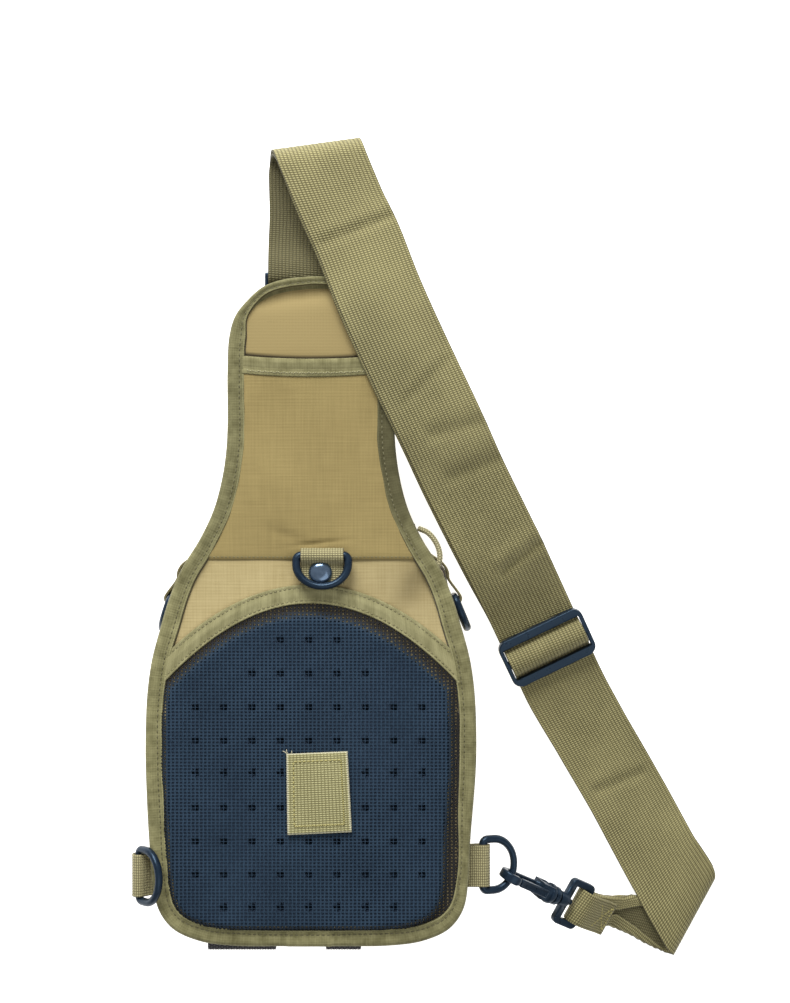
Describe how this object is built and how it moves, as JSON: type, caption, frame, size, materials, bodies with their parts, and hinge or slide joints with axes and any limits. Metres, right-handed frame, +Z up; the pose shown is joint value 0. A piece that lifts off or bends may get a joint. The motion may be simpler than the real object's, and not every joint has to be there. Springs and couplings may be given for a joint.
{
  "type": "tactical sling backpack",
  "caption": "Single-strap tactical sling backpack lying on its front: bell-shaped back panel with mesh pad, D-rings on webbing tabs, and a wide strap with slider and swivel snap hook.",
  "frame": {"origin": "on the flat of the front, which lies on the ground, on the bag's centre line", "axes": "+X to the strap's side across the back panel, +Y towards the neck, +Z up out of the back panel"},
  "size_m": [0.3542, 0.5001, 0.0872],
  "materials": {
    "tan_fabric": "woven Oxford cloth with a fine grid",
    "olive_binding": "ribbed binding tape",
    "webbing": "ribbed webbing",
    "navy_foam": "perforated foam",
    "black_mesh": "open net",
    "black_webbing": "ribbed webbing",
    "dark_plastic": "moulded, satin",
    "rivet_metal": "glossy domed cap",
    "zip": "zip tape and coil",
    "cord": "braided cord"
  },
  "bodies": {
    "bag": {"front_shell": "tan_fabric", "zip_band": "zip", "base_gusset": "tan_fabric", "back_gusset": "tan_fabric", "back_panel": "tan_fabric", "edge_binding": "olive_binding", "zip_slider": "dark_plastic", "zip_pull_cord": "cord", "arch_binding": "olive_binding", "foam_pad": "navy_foam", "mesh_cover": "black_mesh", "webbing_patch": "webbing", "slip_pocket": "tan_fabric", "slip_pocket_binding": "olive_binding", "centre_tab": "webbing", "centre_rivet": "rivet_metal", "left_tab": "webbing", "right_tab": "webbing", "right_d_ring": "dark_plastic", "side_tab_left": "webbing", "side_tab_right": "webbing", "base_tab_wide": "black_webbing", "base_tab_narrow": "black_webbing", "top_ring": "dark_plastic", "top_tab": "webbing", "snap_hook_body": "dark_plastic", "swivel_eye": "dark_plastic", "strap_slider": "dark_plastic", "strap": "webbing"},
    "centre_ring": {"centre_d_ring": "dark_plastic"},
    "left_ring": {"left_d_ring": "dark_plastic"},
    "side_ring_left": {"side_d_ring_left": "dark_plastic"},
    "side_ring_right": {"side_d_ring_right": "dark_plastic"},
    "hook_gate": {"snap_hook_gate": "dark_plastic"}
  },
  "joints": [
    {"name": "centre_ring_turn", "type": "hinge", "parent": "bag", "child": "centre_ring", "pos_m": [0.0068, 0.1178, 0.0808], "axis": [-1, 0, 0], "range_deg": [0, 160]},
    {"name": "left_ring_turn", "type": "hinge", "parent": "bag", "child": "left_ring", "pos_m": [-0.101, -0.07, 0.0703], "axis": [0, -1, 0], "range_deg": [0, 165]},
    {"name": "side_ring_left_turn", "type": "hinge", "parent": "bag", "child": "side_ring_left", "pos_m": [-0.0851, 0.091, 0.037], "axis": [0, 0, -1], "range_deg": [0, 146]},
    {"name": "side_ring_right_turn", "type": "hinge", "parent": "bag", "child": "side_ring_right", "pos_m": [0.0851, 0.091, 0.037], "axis": [0, 0, 1], "range_deg": [-5, 15]},
    {"name": "gate_press", "type": "hinge", "parent": "bag", "child": "hook_gate", "pos_m": [0.13982, -0.08554, 0.0504], "axis": [-0.484, -0.8751, 0], "range_deg": [0, 20], "stiffness_Nm_per_rad": 0.0015, "springref_deg": -20.05}
  ]
}
